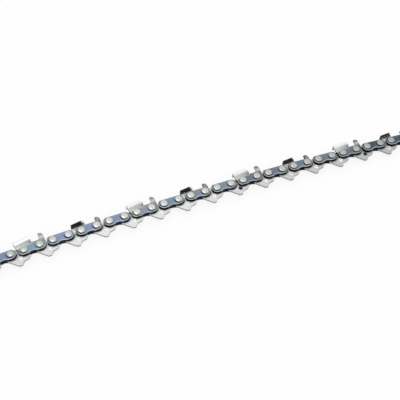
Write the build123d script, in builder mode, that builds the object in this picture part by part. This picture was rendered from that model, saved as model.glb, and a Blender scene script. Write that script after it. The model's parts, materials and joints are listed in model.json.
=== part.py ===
from build123d import *
import os
from math import cos, radians, sin

# An open length of saw chain that lies on its side.
# +X is the way the chain runs, +Y the side on which the cutters stand, +Z up along the rivets.
# The origin is under the middle of the chain, on the surface that it lies on.

# The chain as a whole, in millimetres and degrees
OUTER_LINKS = 16  # strap and cutter links, with a drive link between each two and at either end
STRAP_SPACING = 10.4  # between the two rivets of an outer link
DRIVE_SPACING = 8.65  # between the two rivet holes of a drive link
REST_BEND = 0.21  # turn of each pivot as the chain lies, tangs inwards
LINK_GAP = 1.65  # between the ends of two tie straps on one drive link
CUTTER_GAP = 1.0  # between a cutter and the end of the next tie strap

# Stock
DRIVE_GAUGE = 1.6  # thickness of a drive link
PLATE = 1.6  # thickness of straps and cutters
SIDE_PLAY = 0.06  # between a drive link and the plate on either side
PIVOT_PLAY = 0.05  # between a rivet's hub and its hole, on the radius

# Rivet
SHANK_RADIUS = 1.7  # in the plates
HUB_SHOULDER = 0.4  # step from shank to hub, on which the plates seat
HEAD_LIP = 0.7  # reach of the spun head past the shank
HEAD_HEIGHT = 0.75
CROWN_RADIUS = 1.9  # flat top of the head

# Tie strap
TOP_FLAT = 0.55  # taken off the round ends along the top
WAIST_RISE = 0.8  # hollow of the lower edge, halfway between the rivets

# Drive link
RING_WALL = 0.95  # metal round a rivet hole
SADDLE_DEPTH = 0.9  # hollow of the upper edge
TANG_DEPTH = 9.65  # from the rivets to the tip
TIP_REAR = 1.2  # from the middle back to the rear corner of the tip
TIP_FRONT = 0.45  # from the middle on to the front corner of the tip
TIP_ROUND = 0.4
REAR_SHOULDER = 3.7  # below the rivets, where the rear edge starts to slope
FRONT_SHOULDER = 3.4  # below the rivets, where the front edge starts to curve
SHELF_FRONT = 4.6  # from the middle on to the end of the front shoulder
HOOK_HEIGHT = 2.9  # from the tip up to the front shoulder
HOOK_HOLLOW = 0.75  # depth of the curve in front of the tip
TANG_HOLE_RADIUS = 1.4
TANG_HOLE_AHEAD = 0.85
TANG_HOLE_DEPTH = 4.7

# Cutter: foot, nose and depth gauge
FOOT_DEPTH = 4.05  # rear of the foot, below the rivets
FOOT_LENGTH = 2.9
FOOT_CHAMFER = 1.9
TOE_DEPTH = 3.1  # front of the foot, below the rivets
TOE_BACK = 2.0  # from the front rivet back to the start of the toe
TOE_AHEAD = 1.2  # from the front rivet on to the round of the nose
FOOT_WAIST = 2.7  # highest point between foot and toe, below the rivets
GULLET_FLOOR = 3.2  # above the rivets
GAUGE_TOP = 7.9  # top of the depth gauge
GAUGE_FRONT = 5.3  # where its front starts to slope back
GAUGE_CROWN = 1.7  # length of its top
GAUGE_HOOK = 0.5  # fall of the top towards the hooked rear corner
GAUGE_WIDTH = 3.1
GAUGE_HOLLOW = 0.55  # curve of its rear edge

# Cutter: side plate and top plate, bent from the same sheet
HALF_KERF = 3.95  # from the middle of the chain to the outside of the side plate
TOP_HEIGHT = 8.4  # above the rivets, at the cutting edge
TOP_REACH = 0.9  # top plate past the middle of the chain
TOP_SLOPE = 7.0  # fall towards the heel
BEND_HEIGHT = 3.7  # above the rivets, where the sheet starts to lean outwards
BEND_RADIUS = 1.1  # of all bends, in the middle of the sheet
SIDE_FRONT = 6.0  # from the rear rivet on to the front of the side plate
HEEL_LEAN = 15.0  # rear edge, back from upright
FILE_RADIUS = 2.6  # round file that hollows the cutting edge
FILE_ANGLE = 30.0  # of the file, seen from the top
FILE_AHEAD = 8.0  # from the rear rivet on to the file's middle, at the outside of the side plate
FILE_ABOVE = 1.05  # top of the file above the top plate

# Worked out from the sizes above
INNER_FACE = DRIVE_GAUGE / 2 + SIDE_PLAY
OUTER_FACE = INNER_FACE + PLATE
HUB_RADIUS = SHANK_RADIUS + HUB_SHOULDER
HEAD_RADIUS = SHANK_RADIUS + HEAD_LIP
HOLE_RADIUS = HUB_RADIUS + PIVOT_PLAY
LOBE_RADIUS = HOLE_RADIUS + RING_WALL
STRAP_END = (DRIVE_SPACING - LINK_GAP) / 2
CUTTER_REACH = DRIVE_SPACING - STRAP_END - CUTTER_GAP
REAR = -STRAP_SPACING / 2
FRONT = STRAP_SPACING / 2
BEYOND = 4 * HALF_KERF  # longer than any cut through a cutter

# The drive link, punched from flat stock
half = DRIVE_SPACING / 2
side = half + LOBE_RADIUS
shelf = TANG_DEPTH - HOOK_HEIGHT
with BuildPart() as drive_link:
    with BuildSketch():
        with BuildLine():
            ThreePointArc((-half, LOBE_RADIUS), (0, LOBE_RADIUS - SADDLE_DEPTH), (half, LOBE_RADIUS))
            CenterArc((half, 0), LOBE_RADIUS, 0, 90)
            front_edge = Line((side, 0), (side, -FRONT_SHOULDER))
            shoulder = TangentArc(front_edge @ 1, (SHELF_FRONT, -shelf), tangent=(0, -1))
            SagittaArc(shoulder @ 1, (TIP_FRONT, -TANG_DEPTH), -HOOK_HOLLOW)
            Polyline((TIP_FRONT, -TANG_DEPTH), (-TIP_REAR, -TANG_DEPTH), (-side, -REAR_SHOULDER), (-side, 0))
            CenterArc((-half, 0), LOBE_RADIUS, 90, 90)
        tip = make_face().vertices().group_by(Axis.Y)[0]
        fillet(tip, TIP_ROUND)
        with Locations((-half, 0), (half, 0)):
            Circle(HOLE_RADIUS, mode=Mode.SUBTRACT)
        with Locations((TANG_HOLE_AHEAD, -TANG_HOLE_DEPTH)):
            Circle(TANG_HOLE_RADIUS, mode=Mode.SUBTRACT)
    extrude(amount=DRIVE_GAUGE / 2, both=True)

# The plain strap: round ends, a flat top and a hollow waist
with BuildSketch() as strap_outline:
    SlotCenterToCenter(STRAP_SPACING, 2 * STRAP_END)
    with Locations((0, STRAP_END)):
        Rectangle(2 * STRAP_SPACING, 2 * TOP_FLAT, mode=Mode.SUBTRACT)
    with BuildLine():
        ThreePointArc((REAR, -STRAP_END), (0, WAIST_RISE - STRAP_END), (FRONT, -STRAP_END))
        Line((REAR, -STRAP_END), (FRONT, -STRAP_END))
    make_face(mode=Mode.SUBTRACT)
    with Locations((REAR, 0), (FRONT, 0)):
        Circle(SHANK_RADIUS, mode=Mode.SUBTRACT)

with BuildPart() as right_strap:
    with BuildSketch(Plane.XY.offset(INNER_FACE)):
        add(strap_outline.sketch)
    extrude(amount=PLATE)

with BuildPart() as left_strap:
    mirror(right_strap.part, about=Plane.XY)

with BuildPart() as tie_straps:
    add(right_strap.part)
    add(left_strap.part)

# The rivet: a hub for the drive link, a shank in each plate and a spun head outside it
with BuildPart() as rivet:
    with BuildSketch(Plane.XZ):
        with BuildLine():
            Polyline(
                (0, 0),
                (HUB_RADIUS, 0),
                (HUB_RADIUS, INNER_FACE),
                (SHANK_RADIUS, INNER_FACE),
                (SHANK_RADIUS, OUTER_FACE),
                (HEAD_RADIUS, OUTER_FACE),
                (CROWN_RADIUS, OUTER_FACE + HEAD_HEIGHT),
                (0, OUTER_FACE + HEAD_HEIGHT),
                close=True,
            )
        make_face()
    revolve(axis=Axis.Z)
    mirror(about=Plane.XY)

with BuildPart() as rivets:
    with Locations((REAR, 0), (FRONT, 0)):
        add(rivet.part)

# The cutter
nose = FRONT + CUTTER_REACH
heel = REAR - CUTTER_REACH
gauge_rear = nose - GAUGE_WIDTH
gauge_crown = gauge_rear + GAUGE_CROWN
sheet_middle = INNER_FACE + PLATE / 2
lean = HALF_KERF - PLATE / 2 - sheet_middle
backwards = Vector(-cos(radians(TOP_SLOPE)), -sin(radians(TOP_SLOPE)), 0)
file_plane = Plane(
    origin=(REAR + FILE_AHEAD, TOP_HEIGHT + FILE_ABOVE - FILE_RADIUS, HALF_KERF),
    z_dir=(sin(radians(FILE_ANGLE)), 0, cos(radians(FILE_ANGLE))),
)
with BuildPart() as right_cutter:
    # Foot, nose and depth gauge, punched from the flat sheet
    with BuildSketch(Plane.XY.offset(INNER_FACE)):
        with BuildLine():
            foot = Polyline(
                (heel, GULLET_FLOOR),
                (heel, FOOT_CHAMFER - FOOT_DEPTH),
                (heel + FOOT_CHAMFER, -FOOT_DEPTH),
                (heel + FOOT_CHAMFER + FOOT_LENGTH, -FOOT_DEPTH),
            )
            toe = Line((FRONT - TOE_BACK, -TOE_DEPTH), (FRONT + TOE_AHEAD, -TOE_DEPTH))
            ThreePointArc(foot @ 1, (0, -FOOT_WAIST), toe @ 0)
            front_edge = Line((nose, 0), (nose, GAUGE_FRONT))
            TangentArc(front_edge @ 0, toe @ 1, tangent=(0, -1))
            crown = Polyline(
                front_edge @ 1,
                (gauge_crown, GAUGE_TOP),
                (gauge_rear, GAUGE_TOP - GAUGE_HOOK),
            )
            SagittaArc(crown @ 1, (gauge_rear, GULLET_FLOOR), GAUGE_HOLLOW)
            Line((gauge_rear, GULLET_FLOOR), (heel, GULLET_FLOOR))
        make_face()
    extrude(amount=PLATE)
    # Side plate and top plate, bent outwards and then over the chain
    with BuildSketch(Plane.YZ.offset(REAR + SIDE_FRONT)):
        with BuildLine():
            FilletPolyline(
                (0, sheet_middle),
                (BEND_HEIGHT, sheet_middle),
                (BEND_HEIGHT + lean, sheet_middle + lean),
                (TOP_HEIGHT - PLATE / 2, sheet_middle + lean),
                (TOP_HEIGHT - PLATE / 2, -TOP_REACH),
                radius=BEND_RADIUS,
            )
        trace(line_width=PLATE)
    extrude(amount=SIDE_FRONT + 2 * CUTTER_REACH, dir=backwards)
    # The heel leans back above the foot
    with BuildSketch():
        with BuildLine():
            Polyline(
                (heel, -FOOT_DEPTH),
                (heel, GULLET_FLOOR),
                (heel - BEYOND * sin(radians(HEEL_LEAN)), GULLET_FLOOR + BEYOND * cos(radians(HEEL_LEAN))),
                (heel - BEYOND, GULLET_FLOOR + BEYOND),
                (heel - BEYOND, -FOOT_DEPTH),
                close=True,
            )
        make_face()
    extrude(amount=BEYOND, both=True, mode=Mode.SUBTRACT)
    # The round file's hollow behind the cutting edge
    with BuildSketch(file_plane):
        Circle(FILE_RADIUS)
    extrude(amount=BEYOND, both=True, mode=Mode.SUBTRACT)
    with BuildSketch():
        with Locations((REAR, 0), (FRONT, 0)):
            Circle(SHANK_RADIUS)
    extrude(amount=OUTER_FACE, mode=Mode.SUBTRACT)

with BuildPart() as left_cutter:
    mirror(right_cutter.part, about=Plane.XY)


def lay_links():
    """Planes in the middles of all links along the chain's arc, drive links and outer links in turn."""
    planes = []
    pivot = Vector(0, 0, HALF_KERF)
    for number in range(2 * OUTER_LINKS + 1):
        ahead = Vector(1, 0, 0).rotate(Axis.Z, REST_BEND * (OUTER_LINKS - number))
        reach = STRAP_SPACING if number % 2 else DRIVE_SPACING
        planes.append(Plane(origin=pivot + ahead * (reach / 2), x_dir=ahead, z_dir=(0, 0, 1)))
        pivot += ahead * reach
    top = planes[OUTER_LINKS].origin.Y + TOP_HEIGHT
    bottom = planes[0].origin.Y - TANG_DEPTH
    centre = Vector(planes[OUTER_LINKS].origin.X, (top + bottom) / 2, 0)
    return [Plane(origin=plane.origin - centre, x_dir=plane.x_dir, z_dir=plane.z_dir) for plane in planes]


def place(piece, name, plane):
    """Puts a copy of a piece in its link's plane and writes it."""
    placed = piece.moved(plane.location)
    placed.label = name
    export_step(placed, f"parts/{name}.step")


os.makedirs("parts", exist_ok=True)
for number, plane in enumerate(lay_links()):
    if number % 2 == 0:
        place(drive_link.part, f"drive_link_{number // 2:02d}", plane)
        continue
    link = f"{number // 2 + 1:02d}"
    place(rivets.part, f"rivets_{link}", plane)
    if number % 8 == 3:
        place(right_cutter.part, f"right_cutter_{link}", plane)
        place(left_strap.part, f"left_strap_{link}", plane)
    elif number % 8 == 7:
        place(left_cutter.part, f"left_cutter_{link}", plane)
        place(right_strap.part, f"right_strap_{link}", plane)
    else:
        place(tie_straps.part, f"tie_straps_{link}", plane)
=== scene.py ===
# %% [markdown]
# A length of saw chain lies on its side, as it does on a bench before it is cut to a loop.
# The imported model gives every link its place, its body and its pivots. What it lacks is what the
# eye looks for on pressed steel: rolled edges, dark sheared walls, spun rivet heads, plating and oil.
# This script puts a finished surface in the place of each plain solid and leaves the frame alone.

# %% Load the frame
import json
import bpy
import numpy as np
from mathutils import Matrix
from mathutils.geometry import delaunay_2d_cdt


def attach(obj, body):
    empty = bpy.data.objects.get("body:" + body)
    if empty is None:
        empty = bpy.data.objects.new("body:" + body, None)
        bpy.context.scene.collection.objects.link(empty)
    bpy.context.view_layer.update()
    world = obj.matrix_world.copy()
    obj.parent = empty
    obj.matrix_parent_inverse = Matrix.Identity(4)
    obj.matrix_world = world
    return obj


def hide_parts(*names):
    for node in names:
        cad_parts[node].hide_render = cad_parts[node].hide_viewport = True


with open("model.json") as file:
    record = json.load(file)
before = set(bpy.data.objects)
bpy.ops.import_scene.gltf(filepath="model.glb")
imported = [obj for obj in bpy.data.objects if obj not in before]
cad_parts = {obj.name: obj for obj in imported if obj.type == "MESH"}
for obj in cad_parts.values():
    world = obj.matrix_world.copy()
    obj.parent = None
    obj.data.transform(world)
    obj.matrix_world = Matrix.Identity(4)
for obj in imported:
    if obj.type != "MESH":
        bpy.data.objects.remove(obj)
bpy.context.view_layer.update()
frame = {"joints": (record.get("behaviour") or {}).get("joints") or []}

MM = 0.001

# %% [markdown]
# Drive links and outer links take turns along the chain, and each turns on the rivets that it shares
# with its neighbours. So the pivots alone say where a link is: halfway between two of them, and turned
# the way that one points to the next. Reading that from the frame keeps every surface in step with the
# solids. The two end links have one pivot each, and their headings go on with the bend of the rest.

# %% Where the links are
DRIVE_SPACING = 8.65  # between the rivet holes of a drive link, in millimetres
STRAP_SPACING = 10.4  # between the rivets of a strap or a cutter

pivots = np.array([j["pos_m"] for j in sorted(frame["joints"], key=lambda j: j["name"])])
steps = np.diff(pivots, axis=0)
headings = np.arctan2(steps[:, 1], steps[:, 0])
first_heading, last_heading = 2 * headings[0] - headings[1], 2 * headings[-1] - headings[-2]
headings = np.concatenate([[first_heading], headings, [last_heading]])
ways = np.stack([np.cos(headings), np.sin(headings), 0 * headings], 1)
to_middle = DRIVE_SPACING / 2 * MM
middles = np.concatenate([[pivots[0] - ways[0] * to_middle], (pivots[1:] + pivots[:-1]) / 2,
                          [pivots[-1] + ways[-1] * to_middle]])
OUTER_LINKS = len(pivots) // 2


def lay(points, link):
    """Link coordinates in millimetres to the frame's metres: turned about Z by the link's heading,
    then moved to the link's middle."""
    c, s = np.cos(headings[link]), np.sin(headings[link])
    return middles[link] + points @ np.array([[c, s, 0], [-s, c, 0], [0, 0, 1]]) * MM


print("links:", len(middles), "with headings from", np.degrees(headings[0]).round(2), "to",
      np.degrees(headings[-1]).round(2), "degrees")

# %% [markdown]
# Straps, cutters and drive links are all punched from strip, so one surface serves them all: an outline
# with the plate's edge carried along it. A punch rolls the edge over where it goes in, leaves a rough
# wall below, and tumbling rounds what is left. The edge is therefore a quarter round, a wall and another
# quarter round. A Bevel modifier could round a plain plate, but here the roll can fade out along the
# outline, which a ground cutting edge needs, and every point knows how far round the edge it lies and
# how much painted highlight its roll carries.

# %% The edge of a punched plate
HOLD = 0.08  # flat strip next to the roll, which keeps the shading of the face flat
TURNS = np.radians(np.linspace(0, 90, 5))[:, None]  # rows of a quarter round
NEIGHBOURS = 3  # on either side of a point, over which directions are averaged
HIGHLIGHT_SIDE = np.array([-0.35, -0.94])  # edges that face this way get a painted highlight
HIGHLIGHT_ROWS = slice(2, 4)  # rows of the upper roll that carry the painted highlight
EVEN_HIGHLIGHT, LEAST_HIGHLIGHT = 0.4, 0.05  # painted highlight on a roll that faces across, and on one that faces away


def outward(loop):
    """Directions away from the metal: the loop's tangent turned a quarter to the right, for outlines
    that run anticlockwise and holes that run clockwise. Their mean over a few neighbours fans them out
    at corners, so that the rows inside a corner don't cross."""
    ahead = np.roll(loop, -1, 0) - np.roll(loop, 1, 0)
    ahead = ahead / np.linalg.norm(ahead, axis=1, keepdims=True)
    ahead = sum(np.roll(ahead, k, 0) for k in range(-NEIGHBOURS, NEIGHBOURS + 1))
    ahead = ahead / np.linalg.norm(ahead, axis=1, keepdims=True)
    return np.stack([ahead[:, 1], -ahead[:, 0]], 1)


def carry_edge(loop, roll, half, walls):
    """A profile carried along a closed loop. Its rows are set in from the loop by roll * (1 - sin a)
    and lie at the height half - roll * (1 - cos a) while a goes from 0 to 90 degrees, then down the
    wall, then the same upside down. round is how far round the edge a point is: 0 on the face, up to 1
    at the wall, and 1 on the lower roll, which is coloured dark with the wall, partly as painted shade.
    rim is how much painted highlight the roll carries."""
    roll = np.broadcast_to(roll, len(loop))[None]
    inset = np.concatenate([roll + HOLD, roll * (1 - np.sin(TURNS))])
    height = np.concatenate([half + 0 * roll, half - roll * (1 - np.cos(TURNS))])
    round_ = np.concatenate([0 * roll, TURNS / TURNS[-1] + 0 * roll])
    walls = np.array(walls)[:, None]
    inset = np.concatenate([inset, 0 * walls * roll, inset[::-1]])
    height = np.concatenate([height, walls * (half - roll), -height[::-1]])
    round_ = np.concatenate([round_, 1 + 0 * walls * roll, np.sign(round_[::-1])])
    away = outward(loop)
    flat = loop[None] - inset[..., None] * away[None]
    rim = np.zeros_like(round_)
    rim[HIGHLIGHT_ROWS] = np.clip(EVEN_HIGHLIGHT + (1 - EVEN_HIGHLIGHT) * away @ HIGHLIGHT_SIDE, LEAST_HIGHLIGHT, 1)
    return np.concatenate([flat, height[..., None]], -1), round_, rim


print("edge:", 2 * len(TURNS) + 2, "rows and the wall's own")

# %% [markdown]
# The two faces of a plate lie between the innermost rows of its edges. Both are the same flat region
# with holes, so it is divided into triangles once, between the outline and the holes, and used for both.

# %% Triangles between outlines
SNAP = 1e-7  # points closer than this count as one


def fill(points, loops):
    """Triangles of the flat region between closed loops of point numbers. The triangulation covers the
    whole hull, so a triangle stays only where a line from its middle to the right crosses the loops an
    odd number of times."""
    first = np.concatenate(loops)
    second = np.concatenate([np.roll(loop, -1) for loop in loops])
    edges = np.stack([first, second], 1).tolist()
    result = delaunay_2d_cdt(points.tolist(), edges, [], 0, SNAP, True)
    number = np.array([origin[0] for origin in result[3]])
    triangles = number[np.array(result[2])]
    x, y = (points[triangles].mean(1).T)[..., None]
    (x1, y1), (x2, y2) = points[first].T, points[second].T
    level = (y1 > y) != (y2 > y)
    ahead = x < x1 + (x2 - x1) * (y - y1) / np.where(y2 == y1, 1, y2 - y1)
    return triangles[(level & ahead).sum(1) % 2 == 1]


square = np.array([(0, 0), (10, 0), (10, 10), (0, 10)], float)
print("a square fills with", len(fill(square, [np.arange(4)])), "triangles")

# %% [markdown]
# Outlines are drawn as a draughtsman would: lines, arcs about a centre, and bowed lines that pass a
# given height over their chord. Points could be listed by hand, but then no size could be changed.

# %% Lines and arcs
ARC_STEP = 3  # degrees between the points of an arc


def arc(centre, radius, start, end):
    """Points on a circle from one angle to another, in degrees."""
    a = np.radians(np.linspace(start, end, max(3, int(abs(end - start) / ARC_STEP))))
    return np.column_stack([centre[0] + radius * np.cos(a), centre[1] + radius * np.sin(a)])


def bow(start, end, rise, count=40):
    """A circular arc over a chord. rise is its height, to the left of the way from start to end."""
    start, end = np.array(start, float), np.array(end, float)
    half = np.linalg.norm(end - start) / 2
    ahead = (end - start) / (2 * half)
    left = np.array([-ahead[1], ahead[0]])
    radius = (half**2 + rise**2) / (2 * abs(rise))
    a = np.linspace(-1, 1, count) * np.arcsin(min(1.0, half / radius))
    over = (radius * np.cos(a) - radius + abs(rise)) * np.sign(rise)
    return (start + end) / 2 + (radius * np.sin(a))[:, None] * ahead + over[:, None] * left


def tangent_arc(top, end):
    """The arc that leaves a point straight down and ends at another, with its centre level with the
    first point: radius (d * d + h * h) / (2 * d), where d is how far it comes in and h how far down."""
    d, h = top[0] - end[0], top[1] - end[1]
    radius = (d * d + h * h) / (2 * d)
    return arc((top[0] - radius, top[1]), radius, 0, -np.degrees(np.arctan2(h, radius - d)))


print("a bow of 1 over 10 rises to", bow((0, 0), (10, 0), 1)[:, 1].max().round(2))

# %% [markdown]
# The drawn outline is walked at an even step, so that the rows of the edge get even faces. Easing it
# afterwards takes the last sharpness off the corners, as a worn punch does. Round holes need neither.

# %% Walking an outline
STEP = 0.25  # along an outline, in millimetres


def walk(runs):
    """Joins runs of points to one closed loop, sampled every STEP by its length, then eased by the
    mean of each point and its two neighbours."""
    loop = np.concatenate([np.array(run, float).reshape(-1, 2) for run in runs])
    closed = np.concatenate([loop, loop[:1]])
    length = np.concatenate([[0], np.cumsum(np.linalg.norm(np.diff(closed, axis=0), axis=1))])
    even = np.arange(0, length[-1] - STEP / 2, length[-1] / round(length[-1] / STEP))
    loop = np.column_stack([np.interp(even, length, closed[:, k]) for k in (0, 1)])
    return np.mean([np.roll(loop, k, 0) for k in (-1, 0, 1)], axis=0)


def hole(centre, radius, count=40):
    """A round hole, run clockwise so that the metal lies outside it."""
    a = -np.arange(count) * 2 * np.pi / count
    return np.column_stack([centre[0] + radius * np.cos(a), centre[1] + radius * np.sin(a)])


print("a square of 10 is walked in", len(walk([square])), "steps")

# %% [markdown]
# A whole plate is sewn together from its edges and its faces. The outline and each hole have an edge
# with a roll of its own, and the faces use the edges' own innermost points, so no seam is left open.

# %% A whole plate
WALL_ROWS = (0.85, -0.85)  # rows on a wall, as shares of its half height


def punch(loops, rolls, gauge, walls, inner=np.zeros((0, 2))):
    """A plate of the given gauge round z = 0: carry_edge along each loop, and both faces filled between
    the innermost rows. Points inside the faces help a plate that is bent afterwards."""
    points, rounds, rim_highlights, quads, tops, bottoms = ([] for _ in range(6))
    start = 0
    for loop, roll in zip(loops, rolls):
        grid, round_, rim = carry_edge(loop, roll, gauge / 2, walls)
        here = start + np.arange(round_.size).reshape(round_.shape)
        ahead = np.roll(here, -1, 1)
        quads.append(np.stack([here[:-1], here[1:], ahead[1:], ahead[:-1]], -1).reshape(-1, 4))
        tops.append(here[0])
        bottoms.append(here[-1])
        points.append(grid.reshape(-1, 3))
        rounds.append(round_.ravel())
        rim_highlights.append(rim.ravel())
        start += round_.size
    count = len(inner)
    for side in (1, -1):
        points.append(np.column_stack([inner, np.full(count, side * gauge / 2)]))
    points = np.concatenate(points)
    top = np.concatenate(tops + [start + np.arange(count)])
    bottom = np.concatenate(bottoms + [start + count + np.arange(count)])
    sizes = np.cumsum([0] + [len(t) for t in tops])
    triangles = fill(points[top, :2], [np.arange(a, b) for a, b in zip(sizes[:-1], sizes[1:])])
    a, b, c = (points[top[triangles[:, k]], :2] for k in range(3))
    turn = (b - a)[:, 0] * (c - a)[:, 1] - (b - a)[:, 1] * (c - a)[:, 0]
    triangles = np.where((turn > 0)[:, None], triangles, triangles[:, ::-1])
    none = np.zeros(2 * count)
    return {"points": points, "place": points, "round": np.concatenate(rounds + [none]),
            "rim": np.concatenate(rim_highlights + [none]),
            "faces": [np.concatenate(quads), top[triangles], bottom[triangles[:, ::-1]]]}


coupon = punch([walk([square])], [0.2], 1, WALL_ROWS)
print("a punched square has", len(coupon["points"]), "points")

# %% [markdown]
# A lathe makes the other kind of shape: a profile turned about an axis. One ring of points for each
# point of the profile is enough, with a single point where the profile meets the axis. Blender's Screw
# modifier could do it too, but the arrays are needed later for copies.

# %% Turned shapes
def spin(radius, height, count=40):
    """A profile turned about Z: (r cos a, r sin a, z) for angles a round the circle. The first and last
    points lie on the axis and are closed by triangles."""
    a = np.arange(count) * 2 * np.pi / count
    r, z = radius[1:-1, None], height[1:-1, None]
    ring = np.stack([r * np.cos(a), r * np.sin(a), z + 0 * a], -1).reshape(-1, 3)
    points = np.concatenate([ring, [[0, 0, height[0]], [0, 0, height[-1]]]])
    here = np.arange(len(ring)).reshape(-1, count)
    ahead = np.roll(here, -1, 1)
    quads = np.stack([here[:-1], here[1:], ahead[1:], ahead[:-1]], -1).reshape(-1, 4)
    top, bottom = np.full(count, len(ring)), np.full(count, len(ring) + 1)
    fans = [np.stack([top, here[0], ahead[0]], 1), np.stack([bottom, ahead[-1], here[-1]], 1)]
    return {"points": points, "place": points, "faces": [quads] + fans}


def spin_both(radius, height):
    """The upper half of a profile and its mirror image below z = 0, turned about Z."""
    return spin(np.concatenate([radius, radius[::-1]]), np.concatenate([height, -height[::-1]]))


disc = spin_both(np.array([0, 1]), np.array([1, 1]))
print("a turned disc has", len(disc["points"]), "points")

# %% [markdown]
# A finished piece keeps what its material asks for: place, the point's position on its own link in
# millimetres, and one number a point for each kind of wear or coating, or of painted highlight and
# painted shade. They turn with the link, so a grain that runs along the chain stays true when the chain
# bends, which a world position would not.

# %% From arrays to a piece
NOT_FINISH_VALUES = {"points", "place", "faces"}


def make_piece(name, shape, link, body, node, finish):
    """Puts a shape's arrays into a mesh at a link, hangs it on the body that it rides on and hides the
    solid that it stands for."""
    mesh = bpy.data.meshes.new(name)
    faces = [face for part in shape["faces"] for face in part.tolist()]
    mesh.from_pydata(lay(shape["points"], link), [], faces)
    place = mesh.attributes.new("place", "FLOAT_VECTOR", "POINT")
    place.data.foreach_set("vector", shape["place"].ravel())
    for key in sorted(shape.keys() - NOT_FINISH_VALUES):
        mesh.attributes.new(key, "FLOAT", "POINT").data.foreach_set("value", shape[key] * 1.0)
    mesh.polygons.foreach_set("use_smooth", np.ones(len(mesh.polygons), bool))
    mesh.materials.append(finish)
    piece = bpy.data.objects.new(name, mesh)
    bpy.context.scene.collection.objects.link(piece)
    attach(piece, body)
    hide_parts(node)


print("a punched plate carries", sorted(coupon.keys() - NOT_FINISH_VALUES), "beside its place")

# %% [markdown]
# Straps and rivets come in pairs, and left-hand cutters are the mirror image of right-hand ones. Mirror
# and Array modifiers could make them, but a mirrored mesh has to have its faces turned round, and that
# is one step on the arrays.

# %% Copies of a shape
def other_side(shape):
    """The same shape on the other side of the chain: z changes sign, and faces run the other way."""
    return {**shape, "points": shape["points"] * [1, 1, -1],
            "faces": [part[:, ::-1] for part in shape["faces"]]}


def moved(shape, offset):
    """The same shape moved by an offset, with its places kept."""
    return {**shape, "points": shape["points"] + offset}


def joined(*shapes):
    """Several shapes as one, with the point numbers of the later ones shifted."""
    starts = np.cumsum([0] + [len(s["points"]) for s in shapes])
    whole = {key: np.concatenate([s[key] for s in shapes]) for key in shapes[0] if key != "faces"}
    whole["faces"] = [part + start for s, start in zip(shapes, starts) for part in s["faces"]]
    return whole


print("two discs joined have", len(joined(disc, moved(disc, (3, 0, 0)))["points"]), "points")

# %% [markdown]
# Metal shows what is round it, so its colour is the colour of its reflections. Each finish is therefore
# a full metal whose base colour is its tint. The helpers below only save typing: each adds one node,
# links it and hands back its output, so that a finish reads like a recipe.

# %% Starting a finish
def start_finish(name):
    """A new material with a metallic shader. Returns the material, its nodes and its shader."""
    finish = bpy.data.materials.new(name)
    finish.use_nodes = True
    shader = finish.node_tree.nodes["Principled BSDF"]
    shader.inputs["Metallic"].default_value = 1.0
    return finish, finish.node_tree, shader


def plug(tree, value, socket):
    """Links a socket to another node's output, or sets it to a constant."""
    if hasattr(value, "is_linked"):
        tree.links.new(value, socket)
    else:
        socket.default_value = (*value, 1) if isinstance(value, tuple) else value


def read(tree, name, output="Fac"):
    """A value that the piece carries at its points."""
    node = tree.nodes.new("ShaderNodeAttribute")
    node.attribute_name = name
    return node.outputs[output]


print("helpers to start a finish: start_finish, plug and read")

# %% [markdown]
# Colours come about in two ways here: a ramp turns a value into a colour, as heat does on steel, and a
# blend lays one coat over another. A finish is a few of them in a row, from the bare metal outwards.

# %% Colours
BLACK, WHITE = (0, 0, 0), (1, 1, 1)


def ramp(tree, source, stops):
    """A colour for each level of a value, straight lines between."""
    node = tree.nodes.new("ShaderNodeValToRGB")
    while len(node.color_ramp.elements) < len(stops):
        node.color_ramp.elements.new(0.5)
    for element, (at, colour) in zip(node.color_ramp.elements, stops):
        element.position = at
        element.color = (*colour, 1)
    tree.links.new(source, node.inputs["Fac"])
    return node.outputs["Color"]


def blend(tree, amount, first, second, how="MIX"):
    """Two colours put together. The amount, either colour or all of them may come from other nodes."""
    node = tree.nodes.new("ShaderNodeMix")
    node.data_type = "RGBA"
    node.blend_type = how
    for value, key in ((amount, "Factor_Float"), (first, "A_Color"), (second, "B_Color")):
        plug(tree, value, next(s for s in node.inputs if s.identifier == key))
    return next(s for s in node.outputs if s.identifier == "Result_Color")


print("helpers for colours: ramp and blend")

# %% [markdown]
# Where a coat begins and ends is a sum worked out in every point of the surface. Three helpers are
# enough for it: a soft step, one step of arithmetic, and the point's place on its own link.

# %% Values
def spread(tree, source, low, high, ease="SMOOTHSTEP"):
    """0 below one level of a value and 1 above another, eased between them. The levels may fall."""
    node = tree.nodes.new("ShaderNodeMapRange")
    node.interpolation_type = ease
    node.inputs["From Min"].default_value = low
    node.inputs["From Max"].default_value = high
    tree.links.new(source, node.inputs["Value"])
    return node.outputs["Result"]


def arithmetic(tree, how, first, second=0.0):
    """One step of arithmetic between values or constants."""
    node = tree.nodes.new("ShaderNodeMath")
    node.operation = how
    plug(tree, first, node.inputs[0])
    plug(tree, second, node.inputs[1])
    return node.outputs[0]


def split_place(tree):
    """The x and y of a point on its own link, in millimetres."""
    node = tree.nodes.new("ShaderNodeSeparateXYZ")
    tree.links.new(read(tree, "place", "Vector"), node.inputs["Vector"])
    return node.outputs["X"], node.outputs["Y"]


print("helpers for values: spread, arithmetic and split_place")

# %% [markdown]
# Two kinds of cloud break up the steel. A fine one lies on each link's own millimetres: scratches and
# grain. A coarse one lies on the whole chain's metres, so that neighbours differ a little, as links
# from different batches do. Both move with their piece.

# %% Clouds
CHAIN_RISE = 3.2  # rise of the level along a metre of chain
DRIFT_START, DRIFT_SCALE, DRIFT_SHARE = 0.2, 70.0, 0.6  # level at x = 0, and the cloud on top of it


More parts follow.
